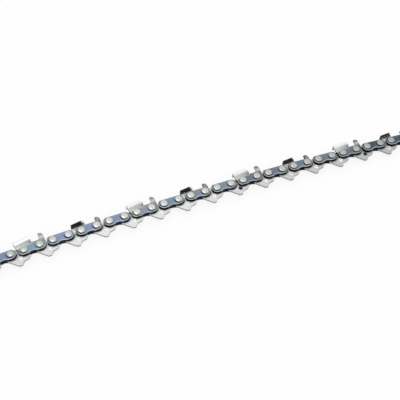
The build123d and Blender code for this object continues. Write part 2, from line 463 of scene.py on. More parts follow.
def noise(tree, scale, detail, stretch=(1, 1, 1)):
    """Cloudy variation on the piece's own place, finer with a higher scale. A stretch below 1 draws it
    out along that direction."""
    turn = tree.nodes.new("ShaderNodeMapping")
    turn.inputs["Scale"].default_value = stretch
    cloud = tree.nodes.new("ShaderNodeTexNoise")
    cloud.inputs["Scale"].default_value = scale
    cloud.inputs["Detail"].default_value = detail
    tree.links.new(read(tree, "place", "Vector"), turn.inputs["Vector"])
    tree.links.new(turn.outputs["Vector"], cloud.inputs["Vector"])
    return cloud.outputs["Fac"]


def patch(tree, scale):
    """Cloudy variation on the frame's metres, nearly the same all over a small piece."""
    spot = tree.nodes.new("ShaderNodeTexCoord")
    cloud = tree.nodes.new("ShaderNodeTexNoise")
    cloud.inputs["Scale"].default_value = scale
    cloud.inputs["Detail"].default_value = 2.0
    tree.links.new(spot.outputs["Object"], cloud.inputs["Vector"])
    return cloud.outputs["Fac"]


def chain_level(tree, start):
    """How far along the chain a point lies: CHAIN_RISE * x + start, for x in metres."""
    spot = tree.nodes.new("ShaderNodeTexCoord")
    split = tree.nodes.new("ShaderNodeSeparateXYZ")
    tree.links.new(spot.outputs["Object"], split.inputs["Vector"])
    return arithmetic(tree, "ADD", arithmetic(tree, "MULTIPLY", split.outputs["X"], CHAIN_RISE), start)


def drift(tree):
    """A level that changes slowly from link to link: along the chain, plus a share of a coarse cloud."""
    cloud = arithmetic(tree, "MULTIPLY", patch(tree, DRIFT_SCALE), DRIFT_SHARE)
    return arithmetic(tree, "ADD", chain_level(tree, DRIFT_START), cloud)


print("the level rises by", (CHAIN_RISE * np.ptp(middles[:, 0])).round(2), "from end to end")

# %% [markdown]
# Punched steel is never evenly smooth. The same fine cloud that tints a face also makes it a little
# rougher and smoother by turns, and lifts it by a hair, so that highlights break up as they should.

# %% Roughness and relief
CLOUD_LOW, CLOUD_HIGH = 0.3, 0.7  # usual range of a cloud's values


def roughen(tree, shader, source, low, high):
    """Roughness between two values, following another value."""
    node = tree.nodes.new("ShaderNodeMapRange")
    node.inputs["From Min"].default_value = CLOUD_LOW
    node.inputs["From Max"].default_value = CLOUD_HIGH
    node.inputs["To Min"].default_value = low
    node.inputs["To Max"].default_value = high
    tree.links.new(source, node.inputs["Value"])
    tree.links.new(node.outputs["Result"], shader.inputs["Roughness"])


def bump(tree, shader, source, strength, depth):
    """Fine relief from a value, depth in metres."""
    node = tree.nodes.new("ShaderNodeBump")
    node.inputs["Strength"].default_value = strength
    node.inputs["Distance"].default_value = depth
    tree.links.new(source, node.inputs["Height"])
    tree.links.new(node.outputs["Normal"], shader.inputs["Normal"])


print("helpers for the surface: roughen and bump")

# %% [markdown]
# A dark crescent of painted shade lies on the lower side of every rivet: on the strap under the head, on
# the rim of the head itself, and on the drive link under the strap's round end. It could be a texture
# painted for each link. A formula in the link's own coordinates does it for all of them.

# %% Painted shade round the rivets
# colour of the painted shade round the rivets, and of the dark plugs in two tangs
SHADE_AND_PLUG = (0.035, 0.04, 0.05)
SHADE_FALL = 2.6  # height over which the painted shade grows, in millimetres
SHADE_DOWN = 0.8  # weight of the way down


def distance(tree, u, v):
    """The length sqrt(u * u + v * v)."""
    squares = [arithmetic(tree, "MULTIPLY", value, value) for value in (u, v)]
    return arithmetic(tree, "SQRT", arithmetic(tree, "ADD", *squares))


def shade(tree, offset, bright, dark, lean=0.6, lift=0.3):
    """How much painted shade a point has. With u = x - offset * sign(x), (u, y) is measured from the
    nearer rivet's axis. The shade grows while sqrt(u * u + y * y) goes from bright to dark, and while
    lean * u + SHADE_DOWN * y falls by SHADE_FALL from the lift: down, and to the left where it leans."""
    x, y = split_place(tree)
    axis = arithmetic(tree, "MULTIPLY", arithmetic(tree, "SIGN", x), offset)
    u = arithmetic(tree, "SUBTRACT", x, axis)
    near = spread(tree, distance(tree, u, y), bright, dark)
    down = arithmetic(tree, "MULTIPLY", y, SHADE_DOWN)
    low = arithmetic(tree, "ADD", arithmetic(tree, "MULTIPLY", u, lean), down)
    return arithmetic(tree, "MULTIPLY", near, spread(tree, low, lift, lift - SHADE_FALL))


print("shade_crescent: grows over", SHADE_FALL, "mm below a rivet")

# %% [markdown]
# Drive links and rivets are darker towards both ends of the chain and brightest a third of the way along
# this length, so a ramp along the chain multiplies their colour.

# %% Darker towards the ends of the chain
FILM = [(0.05, 0.76), (0.24, 0.98), (0.45, 1.0), (0.7, 0.8), (0.95, 0.66)]  # level, share of light
FILM_START = 0.5  # level at the middle of the chain


def dimmed(tree, colour):
    """A colour times the ramp's share along the chain."""
    darkening = ramp(tree, chain_level(tree, FILM_START), [(at, (share, share, share)) for at, share in FILM])
    return blend(tree, 1.0, colour, darkening, "MULTIPLY")


print("film: from", FILM[0][1], "at the rear end to", FILM[-1][1], "at the front end")

# %% [markdown]
# The drive link runs in the bar's groove. Its two rivet holes sit in round lobes with a saddle between
# them, and below hangs the tang, sloped at the back and hooked at the front, with a hole through it.
# It is the plainest plate of the chain, and its edges are hardly rolled.

# %% Shape of a drive link
GAUGE = 1.6  # thickness of drive links, straps and cutters
LOBE, SADDLE = 3.1, 0.9  # radius round a rivet hole, and hollow between the two lobes
HUB_HOLE = 2.15
TANG_HOLE, TANG_HOLE_RADIUS = (0.85, -4.7), 1.4
TIP_FRONT, TIP_REAR, HOOK = (0.7, -9.35), (-1.5, -9.35), (4.6, -6.5)
HOOK_HOLLOW = 0.75  # of the edge between tip and hook
REAR_SHOULDER, FRONT_SHOULDER = -3.7, -3.3  # where the edges of the tang begin
DRIVE_ROLL, HUB_ROLL, TANG_HOLE_ROLL = 0.18, 0.12, 0.15
half = DRIVE_SPACING / 2
side = half + LOBE
drive_outline = walk([
    arc((half, 0), LOBE, 0, 90),
    bow((half, LOBE), (-half, LOBE), SADDLE),
    arc((-half, 0), LOBE, 90, 180),
    [(-side, REAR_SHOULDER), TIP_REAR, TIP_FRONT],
    bow(TIP_FRONT, HOOK, HOOK_HOLLOW),
    tangent_arc((side, FRONT_SHOULDER), HOOK)[::-1],
])
drive_holes = [hole((-half, 0), HUB_HOLE), hole((half, 0), HUB_HOLE), hole(TANG_HOLE, TANG_HOLE_RADIUS)]
drive_shape = punch([drive_outline] + drive_holes, [DRIVE_ROLL, HUB_ROLL, HUB_ROLL, TANG_HOLE_ROLL],
                    GAUGE, WALL_ROWS)
# the wall of the tang hole gets a painted light, paler than the other walls
from_hole = np.linalg.norm(drive_shape["points"][:, :2] - TANG_HOLE, axis=1)
at_hole = from_hole < TANG_HOLE_RADIUS + 2 * TANG_HOLE_ROLL
drive_shape["lit_hole_wall"] = drive_shape["round"] * at_hole
print("drive link:", len(drive_shape["points"]), "points")

# %% [markdown]
# In two of the tangs the hole is dark. A plug with dished ends is turned and set in the hole, as part of
# the same piece, and coloured dark.

# %% A drive link with a dark plug
PLUG_RADIUS = np.array([0, 0.7, 1.15, TANG_HOLE_RADIUS + 0.02])
PLUG_HEIGHT = np.array([0.3, 0.36, 0.5, 0.72])
plug_shape = moved(spin_both(PLUG_RADIUS, PLUG_HEIGHT), (*TANG_HOLE, 0))
none = np.zeros(len(plug_shape["points"]))
plug_shape.update({"round": none, "rim": none, "lit_hole_wall": none, "clogged": none + 1})
dark_plug_shape = joined(
    {**drive_shape, "clogged": drive_shape["lit_hole_wall"], "lit_hole_wall": 0 * drive_shape["lit_hole_wall"]}, plug_shape)
print("clogged drive link:", len(dark_plug_shape["points"]), "points")

# %% [markdown]
# Drive links are left bright. Heat treatment and the tumbling drum leave fine clouds of lighter and
# darker grey on them, and their sheared walls are duller. Under the straps they carry painted shade. Four
# values make exceptions: the free lobes at the two ends get no painted shade, the wall of the hole in the
# tang gets a painted light or is dark with a dark plug in the hole, and painted shade lies where the heel
# of a right-hand cutter comes close.

# %% Finish of the drive links
# the first colour is painted shade under the straps and by a cutter's heel, the last a painted light on
# the tang hole's wall
DRIVE_SHADE, DRIVE_WALL, HOLE_WALL_LIGHT = (0.05, 0.055, 0.06), (0.33, 0.33, 0.335), (0.86, 0.86, 0.86)
HEEL_SPOT, SPOT_EDGE, SPOT_HEART = (-0.4, 2.8), 1.8, 0.8  # middle of the painted shade by the heel, and its two radii
drive_steel, tree, shader = start_finish("drive_steel")
scratches = noise(tree, 2.6, 6, (0.6, 0.6, 1))
grain = noise(tree, 1.5, 4, (0.7, 1.2, 1))
face = dimmed(tree, ramp(tree, grain, [
    (0.34, (0.6, 0.605, 0.6)), (0.5, (0.74, 0.74, 0.735)), (0.66, (0.8, 0.8, 0.795))]))
covered = arithmetic(tree, "SUBTRACT", 1.0, read(tree, "free_lobe"))
# painted shade under the round ends of the straps
crescent = shade(tree, DRIVE_SPACING / 2, bright=5.4, dark=3.7, lean=0.0, lift=1.2)
shaded = arithmetic(tree, "MULTIPLY", crescent, covered)
# painted shade where a right-hand cutter's heel comes close
x, y = (arithmetic(tree, "SUBTRACT", value, at) for value, at in zip(split_place(tree), HEEL_SPOT))
heel_shade = spread(tree, distance(tree, x, y), SPOT_EDGE, SPOT_HEART)
heel_shade = arithmetic(tree, "MULTIPLY", heel_shade, read(tree, "heel_shade"))
colour = blend(tree, arithmetic(tree, "MAXIMUM", shaded, heel_shade), face, DRIVE_SHADE)
wall = ramp(tree, read(tree, "round"), [(0.05, BLACK), (0.6, WHITE)])
colour = blend(tree, wall, colour, DRIVE_WALL)
# painted light on the wall of the tang hole
colour = blend(tree, read(tree, "lit_hole_wall"), colour, HOLE_WALL_LIGHT)
plug(tree, blend(tree, read(tree, "clogged"), colour, SHADE_AND_PLUG), shader.inputs["Base Color"])
roughen(tree, shader, scratches, low=0.28, high=0.42)
bump(tree, shader, scratches, strength=0.08, depth=0.00002)
print("finish:", drive_steel.name, "with", len(tree.nodes), "nodes")

# %% [markdown]
# One shape serves all drive links. A copy of its arrays goes to each link and gets the exceptions of
# that link. Linked duplicates would save memory, but the points have to lie in the frame's own place.

# %% Drive links in place
DARK_PLUGS = (9, 14)
RIGHT_HAND = range(2, OUTER_LINKS + 1, 4)  # outer links with a right-hand cutter
ENDS = {0: -1, OUTER_LINKS: 1}  # the end links, and the side on which their lobe is free
for number in range(OUTER_LINKS + 1):
    shape = dict(dark_plug_shape if number in DARK_PLUGS else drive_shape)
    if number in ENDS:
        # the free lobe at an end of the chain gets no painted shade
        shape["free_lobe"] = shape["points"][:, 0] * ENDS[number] > 0
    if number + 1 in RIGHT_HAND:
        shape["heel_shade"] = np.ones(len(shape["points"]))
    make_piece(f"drive_plate_{number:02d}", shape, 2 * number, f"drive_{number:02d}",
               f"drive_link_{number:02d}", drive_steel)
print("drive links:", OUTER_LINKS + 1)

# %% [markdown]
# A tie strap joins two rivets on each side of the chain. It has a flat top, round ends and a hollow
# waist, and its rear corner is fuller than its front one, which must clear the heel of the next cutter.
# One surface makes the strap on top of the drive links, and its mirror image the one below.

# %% Shape of a strap
ROLL, HOLE_ROLL = 0.45, 0.05  # rolled edge of a strap or a cutter, and of its rivet holes
INNER_FACE = 0.86  # from the middle of the chain to the inner face of a strap
OUTER_FACE = INNER_FACE + GAUGE
SHANK = 1.7
END, END_TRIM = 3.5, 0.06  # radius of the round ends, and what is off them above the rivets
TOP, FRONT_CORNER, REAR_CORNER = 3.05, 3.0, 1.8
WAIST, WAIST_RISE = 2.9, 0.85
rear, front = -STRAP_SPACING / 2, STRAP_SPACING / 2
reach = front + END - END_TRIM
strap_outline = walk([
    arc((front, 0), END, -90, 0),
    arc((reach - FRONT_CORNER, TOP - FRONT_CORNER), FRONT_CORNER, 0, 90),
    arc((REAR_CORNER - reach, TOP - REAR_CORNER), REAR_CORNER, 90, 180),
    arc((rear, 0), END, 180, 270),
    bow((-WAIST, -END), (WAIST, -END), WAIST_RISE),
])
rivet_holes = [hole((rear, 0), SHANK), hole((front, 0), SHANK)]
strap_shape = punch([strap_outline] + rivet_holes, [ROLL, HOLE_ROLL, HOLE_ROLL], GAUGE, WALL_ROWS)
right_strap = moved(strap_shape, (0, 0, INNER_FACE + GAUGE / 2))
left_strap = other_side(right_strap)
print("strap:", len(strap_shape["points"]), "points")

# %% [markdown]
# Straps are blued: a thin oxide grown in hot salt, from violet to steel blue, which no two links take
# alike. So the tint follows the drift along the chain, a soft mottle lies over it, and the blue wears
# to grey at the round ends. Painted shade darkens the strap below each rivet, the rolled edge below
# carries a painted highlight, and the sheared wall is black, partly as painted shade.

# %% Finish of the straps
DARK_WALL, EDGE_HIGHLIGHT = (0.014, 0.015, 0.018), (0.60, 0.64, 0.70)
SHEARED = [(0.6, BLACK), (0.78, WHITE)]  # how far round the edge the sheared wall begins
CRESCENT = {"bright": 3.5, "dark": 2.7}  # distances from a rivet between which the painted shade grows
WORN_COLOUR, WORN_VALUE = 0.35, 0.78  # shares of colour and brightness that wear leaves
WORN_FROM, WORN_TO = 2.5, 6.5  # from the middle of a link towards its ends


def greyed(tree, tint):
    """The same tint with less colour towards the round ends of a link, where handling wears the blue."""
    x, _ = split_place(tree)
    node = tree.nodes.new("ShaderNodeHueSaturation")
    node.inputs["Saturation"].default_value = WORN_COLOUR
    node.inputs["Value"].default_value = WORN_VALUE
    plug(tree, spread(tree, arithmetic(tree, "ABSOLUTE", x), WORN_FROM, WORN_TO), node.inputs["Fac"])
    plug(tree, tint, node.inputs["Color"])
    return node.outputs["Color"]


strap_steel, tree, shader = start_finish("strap_steel")
scratches = noise(tree, 2.2, 6, (0.25, 1.6, 1))
tint = ramp(tree, drift(tree), [
    (0.0, (0.15, 0.20, 0.255)), (0.14, (0.20, 0.275, 0.375)), (0.24, (0.25, 0.31, 0.45)),
    (0.34, (0.245, 0.31, 0.395)), (0.52, (0.225, 0.305, 0.37)), (0.7, (0.20, 0.235, 0.29)),
    (0.86, (0.135, 0.17, 0.21)), (1.0, (0.075, 0.105, 0.145))])
mottle = ramp(tree, noise(tree, 0.35, 3), [
    (0.32, (0.5, 0.68, 0.64)), (0.5, (0.84, 0.84, 0.82)), (0.68, (1.0, 0.86, 1.0))])
colour = blend(tree, 0.5, greyed(tree, tint), mottle, "MULTIPLY")
# painted shade on the strap below each rivet
colour = blend(tree, shade(tree, STRAP_SPACING / 2, **CRESCENT), colour, SHADE_AND_PLUG)
# painted highlight on the rolled edges that face down and to the left
colour = blend(tree, read(tree, "rim"), colour, EDGE_HIGHLIGHT)
# sheared wall and lower roll: dark steel, and partly painted shade where the strap meets the link below
colour = blend(tree, ramp(tree, read(tree, "round"), SHEARED), colour, DARK_WALL)
plug(tree, colour, shader.inputs["Base Color"])
roughen(tree, shader, scratches, low=0.26, high=0.42)
bump(tree, shader, scratches, strength=0.12, depth=0.00002)
print("finish:", strap_steel.name, "with", len(tree.nodes), "nodes")

# %% [markdown]
# Every second outer link is a tie link with a strap on either side. The others have a cutter on one
# side, right and left in turn, and a single strap on the other. A pair of straps is one solid group in
# the frame, so it is one piece here too.

# %% Straps in place
strap_pair = joined(right_strap, left_strap)
for number in range(1, OUTER_LINKS + 1):
    if number % 2:
        name, shape, node = "strap_pair", strap_pair, "tie_straps"
    elif number in RIGHT_HAND:
        name, shape, node = "lower_strap", left_strap, "left_strap"
    else:
        name, shape, node = "upper_strap", right_strap, "right_strap"
    make_piece(f"{name}_{number:02d}", shape, 2 * number - 1, f"link_{number:02d}",
               f"{node}_{number:02d}", strap_steel)
print("straps:", 3 * OUTER_LINKS // 2)

# %% [markdown]
# A rivet is turned with a hub for the drive link and a shank for each strap, and its ends are spun
# over. Spinning leaves a flat crown with a soft shoulder and a small dimple where the tool turned. A
# profile turned about the axis gives all of it. Its points crowd at the shoulder, where it curves most.

# %% Shape of a rivet
HEAD, HEAD_HEIGHT, HUB = 2.4, 0.675, 2.1
HEAD_SEAT, HEAD_LIFT = 2.3, 0.08  # radius of the head on the strap, and height of its rim above it
DIMPLE, DIMPLE_RADIUS = 0.045, 0.45
HUB_ROW = 0.4  # height of the hub's own row of points
MIDDLE_RINGS, SHOULDER_FROM, SHOULDER_RINGS = [0, 0.25, 0.5, 0.75], 0.9, 13
# The crown's height is HEAD_HEIGHT * sqrt(1 - (r / HEAD)^3), less a bell-shaped dimple. Radii of
# HEAD * sin(a)^(2/3), for even steps of the angle a, crowd its rings at the shoulder.
head_r = HEAD * np.sin(np.linspace(0, np.pi / 2, SHOULDER_RINGS)) ** (2 / 3)
head_r = np.concatenate([MIDDLE_RINGS, head_r[head_r > SHOULDER_FROM]])
crown = np.clip(1 - (head_r / HEAD) ** 3, 0, 1) ** 0.5 * HEAD_HEIGHT
crown = crown - DIMPLE * np.exp(-((head_r / DIMPLE_RADIUS) ** 2))
rivet_r = np.concatenate([head_r, [HEAD_SEAT, SHANK, SHANK, HUB, HUB]])
rivet_z = np.concatenate([OUTER_FACE + HEAD_LIFT + crown,
                          [OUTER_FACE, OUTER_FACE, INNER_FACE, INNER_FACE, HUB_ROW]])
rivet = spin_both(rivet_r, rivet_z)
print("rivet:", len(rivet["points"]), "points")

# %% [markdown]
# Spun heads are bare steel, smoother than a punched face. Some have taken a warm or a greenish film
# from the oil, so a coarse cloud on the chain's metres gives each head its own cast.

# %% Finish of the rivets
rivet_steel, tree, shader = start_finish("rivet_steel")
scratches = noise(tree, 2.4, 4)
cast = ramp(tree, patch(tree, 90.0), [
    (0.34, (0.74, 0.7, 0.655)), (0.44, (0.715, 0.71, 0.67)),
    (0.54, (0.65, 0.705, 0.645)), (0.66, (0.695, 0.705, 0.715))])
rubbed = ramp(tree, scratches, [(0.3, (0.86, 0.86, 0.86)), (0.7, WHITE)])
face = dimmed(tree, blend(tree, 1.0, cast, rubbed, "MULTIPLY"))
# painted shade on the lower left rim of each head
crescent = shade(tree, 0.0, bright=2.1, dark=2.4)
plug(tree, blend(tree, crescent, face, SHADE_AND_PLUG), shader.inputs["Base Color"])
roughen(tree, shader, scratches, low=0.24, high=0.36)
bump(tree, shader, scratches, strength=0.1, depth=0.00001)
print("finish:", rivet_steel.name, "with", len(tree.nodes), "nodes")

# %% [markdown]
# The two rivets of an outer link are one group in the frame and ride with its straps. Their places stay
# those of a single rivet, so that the painted shade of the finish falls the same way round each head.

# %% Rivets in place
rivet_pair = joined(moved(rivet, (rear, 0, 0)), moved(rivet, (front, 0, 0)))
for number in range(1, OUTER_LINKS + 1):
    make_piece(f"rivet_pair_{number:02d}", rivet_pair, 2 * number - 1, f"link_{number:02d}",
               f"rivets_{number:02d}", rivet_steel)
print("rivets:", 2 * OUTER_LINKS)

# %% [markdown]
# A cutter is punched flat with its foot, its gullet and its depth gauge, and then its upper tab is bent
# outwards, up and over the chain. The script does the same: it punches the flat blank with the surface
# from before, and then sends every point through a bend. The heading of the sheet along its section
# says it all, and adding up its cosines and sines gives the bent line.

# %% The bend of a cutter
SHEET = INNER_FACE + GAUGE / 2  # middle of the flat foot
BEND = 1.1  # radius of all bends, in the middle of the sheet
SHOULDER = 3.7  # where the side plate starts to lean out
TOP_PLATE, TOP_REACH = 8.4, 0.9  # height of the top plate, and its reach past the chain's middle
HALF_KERF = 3.949  # from the middle of the chain to the outside of the side plate
START, FINE = 8, 0.004  # the section starts this far below the rivets and is added up in such steps
lean_out = HALF_KERF - GAUGE / 2 - SHEET
trim = BEND * np.tan(np.radians(22.5))  # what a bend of 45 degrees takes off either straight run
runs = [START + SHOULDER - trim, BEND * np.pi / 4, lean_out * 2**0.5 - 2 * trim, BEND * np.pi / 4,
        TOP_PLATE - GAUGE / 2 - SHOULDER - lean_out - trim - BEND, BEND * np.pi / 2,
        SHEET + lean_out + TOP_REACH - BEND]
marks = np.concatenate([[0], np.cumsum(runs)]) - START
along = np.arange(marks[0], marks[-1] + 1, FINE)
heading = np.radians(np.interp(along, marks, [0, 0, 45, 45, 0, 0, -90, -90]))
turned = (heading[1:] + heading[:-1]) / 2
bent_y = marks[0] + np.concatenate([[0], np.cumsum(np.cos(turned) * FINE)])
bent_z = SHEET + np.concatenate([[0], np.cumsum(np.sin(turned) * FINE)])
FREE_EDGE = marks[-1]


def section(q, w):
    """Height and depth of a point of the bent sheet: q along its middle, w out of its middle."""
    turn = np.interp(q, along, heading)
    return np.interp(q, along, bent_y) - w * np.sin(turn), np.interp(q, along, bent_z) + w * np.cos(turn)


print("bend:", FREE_EDGE.round(2), "mm from the rivets to the free edge")

# %% [markdown]
# Two cuts bound the tab. The heel is sheared along a curve that runs back from the foot. The front is
# ground by a round file held level and turned 30 degrees, which hollows the side plate under a sharp
# top edge and gives the side plate its hook. The top plate falls to the rear.

# %% Heel and cutting edge
X0 = rear + 6.0  # front of the side plate
SLOPE = np.tan(np.radians(7))  # fall of the top plate towards the heel
HEEL, HEEL_CURVE, HEEL_STRAIGHT = -10.2, 0.068, 6.0
FILE = 2.6  # radius of the file
FILE_X, FILE_Y, FILE_Z = rear + 8.0, TOP_PLATE + 1.05 - FILE, 3.95  # a point of its axis
FILE_ANGLE = np.radians(30)


def heel_x(q):
    """Rear edge of the tab: a parabola that turns into a straight line HEEL_STRAIGHT up the sheet."""
    return HEEL + HEEL_CURVE * np.minimum(q - HEEL_STRAIGHT, 0) ** 2


def front_x(q, w):
    """Front edge: where a line along the sloping sheet meets the round file, the nearer root of
    (c (x - a))^2 + (y - f)^2 = radius^2, and never ahead of the side plate's own front."""
    y, z = section(q, w)
    c, a = np.cos(FILE_ANGLE) ** 2, FILE_X + (z - FILE_Z) * np.tan(FILE_ANGLE)
    e = y - SLOPE * X0 - FILE_Y
    p, k, m = c * a - SLOPE * e, c + SLOPE**2, c * a * a + e * e - FILE**2
    inside = p * p - k * m
    return np.where(inside > 0, np.minimum(X0, (p - np.sqrt(np.maximum(inside, 0))) / k), X0)


print("top plate:", (front_x(FREE_EDGE, 0) - heel_x(FREE_EDGE)).round(2), "mm long at its free edge")

# %% [markdown]
# Now the flat blank can be folded. A Simple Deform modifier bends a mesh along one arc only, and a
# cutter has three bends and a filed front, so each point's new place is worked out instead.

# %% Folding the blank
GULLET = 3.4  # floor of the gullet, above the rivets
TINY = 1e-6


def fold(points):
    """The flat blank bent to a cutter. Points ahead of the tab stay flat. Elsewhere the distance along
    the section gives height and depth, and the points between heel and front edge are drawn out so that
    the front follows the file on either face."""
    x, y, w = points.T
    q = y + SLOPE * (X0 - x)
    tab = (x <= X0 + TINY) & (q > 0)
    high, deep = section(q, w)
    heel = heel_x(q)
    drawn = heel + (x - heel) * (front_x(q, w) - heel) / (front_x(q, 0 * w) - heel)
    x = np.where(tab & (q > GULLET), drawn, x)
    return np.column_stack([x, np.where(tab, high - SLOPE * (X0 - x), y), np.where(tab, deep, SHEET + w)])


print("fold: a point 10 mm up the blank ends", fold(np.array([[-4.0, 10, 0]]))[0].round(2))

# %% [markdown]
# The blank's outline starts at the heel, goes round the foot with the same waist as a strap, up the
# nose to the rounded depth gauge, down into the gullet and along the two cuts of the tab.

# %% Outline of the blank
FOOT = [(-8.8, -1.7), (-7.2, -3.45)]  # chamfer of the foot, below the heel
FOOT_TOP = 1.4  # where the foot's edge meets the heel, up the sheet
TOE = front + 0.9
NOSE = front + 4.25
CROWN, CROWN_HEIGHT = 2.4, 5.65  # round of the depth gauge, and height of its centre
GAUGE_REAR, GAUGE_HOOK, FILLET = 6.25, 7.8, 1.8
CUT_POINTS = 120
q_front, q_heel = np.linspace(GULLET, FREE_EDGE, CUT_POINTS), np.linspace(FREE_EDGE, FOOT_TOP, CUT_POINTS)
edge_front, edge_heel = front_x(q_front, 0 * q_front), heel_x(q_heel)
cutter_outline = walk([
    FOOT,
    bow((-WAIST, -END), (WAIST, -END), WAIST_RISE),
    tangent_arc((NOSE, 0), (TOE, -END))[::-1],
    arc((NOSE - CROWN, CROWN_HEIGHT), CROWN, 0, 90),
    [(GAUGE_REAR, GAUGE_HOOK)],
    arc((GAUGE_REAR - FILLET, GULLET + FILLET), FILLET, 0, -90),
    np.column_stack([edge_front, q_front - SLOPE * (X0 - edge_front)]),
    np.column_stack([edge_heel, q_heel - SLOPE * (X0 - edge_heel)]),
])
print("cutter outline:", len(cutter_outline), "points")

# %% [markdown]
# The file leaves a sharp edge, so the roll fades to nothing there. A grid of points inside the tab,
# from heel to front on every line up the sheet, lets it bend smoothly.

# %% The blank of a cutter
FILED_FROM, FILED_BAND, SHARP = 4.4, 0.15, 0.02  # start of the filed edge, its width, and its roll
PAST_FRONT = 0.1  # points up to here belong to the tab
GRID_FROM, GRID_STEP, GRID_COLUMNS = 1.7, 0.25, 36
FROM_HEEL, FROM_FRONT, FROM_TOP, FROM_HOLE = 0.55, 0.45, 0.45, 0.4  # room left for the edges
CUTTER_WALL_ROWS = (0.92, 0.6, 0.2, -0.2, -0.6, -0.92)


def along_sheet(x, y):
    """How far up the sheet a point of the blank lies, and whether it is on the filed edge."""
    q = y + SLOPE * (X0 - x)
    at_front = np.abs(x - front_x(q, 0 * q)) < FILED_BAND
    return q, (x < X0 + PAST_FRONT) & (q > FILED_FROM) & at_front


lines, columns = np.arange(GRID_FROM, FREE_EDGE - FROM_TOP, GRID_STEP), np.linspace(0, 1, GRID_COLUMNS)
grid_q, share = np.meshgrid(lines, columns, indexing="ij")
low, high = heel_x(grid_q) + FROM_HEEL, front_x(grid_q, 0 * grid_q) - FROM_FRONT
grid_x = low + share * (high - low)
inner = np.column_stack([grid_x.ravel(), (grid_q - SLOPE * (X0 - grid_x)).ravel()])
inner = inner[np.linalg.norm(inner - (rear, 0), axis=1) > SHANK + FROM_HOLE]
_, filed = along_sheet(*cutter_outline.T)
cutter_rolls = [np.where(filed, SHARP, ROLL), HOLE_ROLL, HOLE_ROLL]
cutter_blank = punch([cutter_outline] + rivet_holes, cutter_rolls, GAUGE, CUTTER_WALL_ROWS, inner)
print("blank:", len(cutter_blank["points"]), "points,", len(inner), "of them inside each face")

# %% [markdown]
# Hard chrome covers the cutting end. It is thickest and whitest on the top plate, thins to a grey band
# down the side plate and leaves the foot blue, and a little of it reaches the depth gauge. The grey band
# is partly painted shade, where the bend leans towards the front, and it grows darker towards the cutting
# edge, also as painted shade. The inner face is made white all over, partly as painted light. All this is
# worked out on the flat blank, where distances are easy to state: q up the sheet and x along it.

# %% Plating and painted shade
UP_SHEET = [1.8, 2.5, 3.0, 4.0, 5.0, 5.6, 6.1, 6.6]
HEEL_PLATING_AND_SHADE = [0, 0.27, 0.49, 0.63, 0.46, 0.53, 0.88, 1]
EDGE_PLATING_AND_SHADE = [0, 0.24, 0.24, 0.19, 0.25, 0.32, 0.75, 1]
UP_GAUGE = [2.4, 3.0, 3.5, 4.0, 4.6, 5.1, 5.6, 6.2]
GAUGE_PLATING = [0, 0.08, 0.2, 0.36, 0.48, 0.45, 0.28, 0.06]
UP_WALL, WALL_PLATING = [4.5, 5.3, 11.2, 11.6], [0, 0.9, 0.9, 0.5]
GAUGE_FROM, INNER_GAUGE_FROM = 4, 5  # where the gauge's plating and the painted shade on its inner side begin, along x


def rise(value, start, run):
    """0 up to a start, then in a straight line to 1 over a run."""
    return np.clip((value - start) / run, 0, 1)


flat = cutter_blank["points"]
x, y, w = flat.T
q, near_front = along_sheet(x, y)
tab, wall = x < X0 + PAST_FRONT, cutter_blank["round"] == 1
inside = rise(-w, -0.25, 0.5)  # 1 on the inner face, 0 on the outer one
at_heel, at_edge = np.interp(q, UP_SHEET, HEEL_PLATING_AND_SHADE), np.interp(q, UP_SHEET, EDGE_PLATING_AND_SHADE)
# the lower levels down the side plate, and towards the cutting edge, are partly painted shade
plated = at_edge + (at_heel - at_edge) * rise(-x, 1, 6.5)  # from the cutting edge to the heel
plated = np.maximum(plated, inside * rise(q, 3, 1))  # all of the inner face, chrome and partly painted light
plated = np.where(tab, plated, np.interp(y, UP_GAUGE, GAUGE_PLATING) * (x > GAUGE_FROM))
plated = np.where(wall, np.interp(q, UP_WALL, WALL_PLATING) * tab, plated)
print("plating: white on", int((plated > 0.9).sum()), "points of", len(flat))

# %% [markdown]
# The file bares steel at the front. The corner under the edge is painted black as shade. The inner side
# is dull, and painted shade darkens it: it starts up the side plate, later near the heel, and is full
# under the top plate. It shows on the left-hand cutters, which turn their inner side up, and only a trace
# of it on the right.

# %% Painted shade and ground steel
UP_CORNER, CORNER_SHADE = [3.2, 3.9, 4.5, 4.9], [0, 1, 1, 0]
UP_INNER_GAUGE, INNER_GAUGE_SHADE = [3.5, 5.0, 6.4], [0.7, 0.5, 0]
FRONT_SHADE, PALER, TRACE = 0.45, 0.216, 0.3  # painted shade at the front of the side plate, how much paler it grows towards the edge, and its share on right-hand cutters
# painted shade: the corner under the cutting edge, below the top plate, up the inner side and on the
# gauge; the values called scale carry it
corner = rise(x, X0 - 2.0, 1.6) * np.interp(q, UP_CORNER, CORNER_SHADE) * tab
under = inside * rise(q, 7.3, 1 / 1.4) * tab  # below the top plate
side_shade = rise(q, 5.9 + rise(-x, 5.5, 1.5), 2.0)  # starts higher up near the heel
side_shade = np.maximum(side_shade, FRONT_SHADE * rise(x, -3.6, 1.5) * rise(q, 4, 1)) * inside * tab
inner_shade = np.maximum(side_shade, under) * (1 - PALER * rise(x, -3.2, 1.44))
on_gauge = inside * ~tab * (x > INNER_GAUGE_FROM)
gauge_shade = on_gauge * np.interp(y, UP_INNER_GAUGE, INNER_GAUGE_SHADE)
inner_shade = np.maximum(inner_shade, gauge_shade)
dull = inside * rise(q, 1.5, 1) * tab  # all of the tab's inner side
print("scale: black on", int((inner_shade > 0.9).sum()), "points of a left-hand cutter")

# %% [markdown]
# The finish lays the coats over each other in this order: blued steel, a haze of chrome and then full
# chrome, whose levels are partly painted shade and painted light, painted shade round the rivets, a
# painted highlight on the roll, the sheared wall, painted shade where the values called scale say, and
# ground steel. Where the inner side is dull, the shader is no metal.

